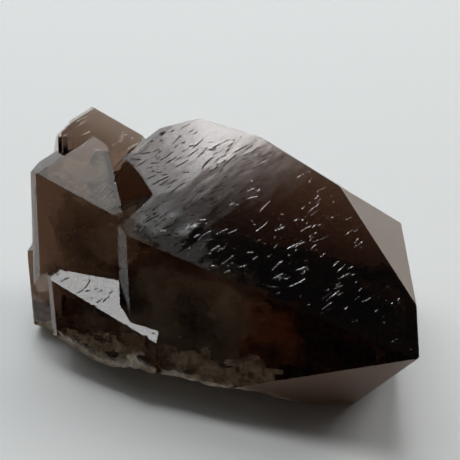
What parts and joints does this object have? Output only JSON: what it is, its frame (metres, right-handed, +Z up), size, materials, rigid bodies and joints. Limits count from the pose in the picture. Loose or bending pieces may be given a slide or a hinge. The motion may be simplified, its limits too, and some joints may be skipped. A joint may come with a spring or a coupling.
{
  "type": "smoky quartz crystal",
  "caption": "Natural smoky quartz cluster: a large faceted crystal with smaller parallel crystals grown into its side, resting on a broken base.",
  "frame": {"origin": "on the surface it rests on, below the middle of the bounding box", "axes": "+Z up, +X along the length towards the large crystal's point, -Y towards the viewer of the picture"},
  "size_m": [0.0934, 0.0758, 0.0514],
  "materials": {
    "smoky_quartz": "clear smoky brown with glassy faces"
  },
  "bodies": {
    "root": {"smoky_quartz_cluster": "smoky_quartz"}
  },
  "joints": []
}
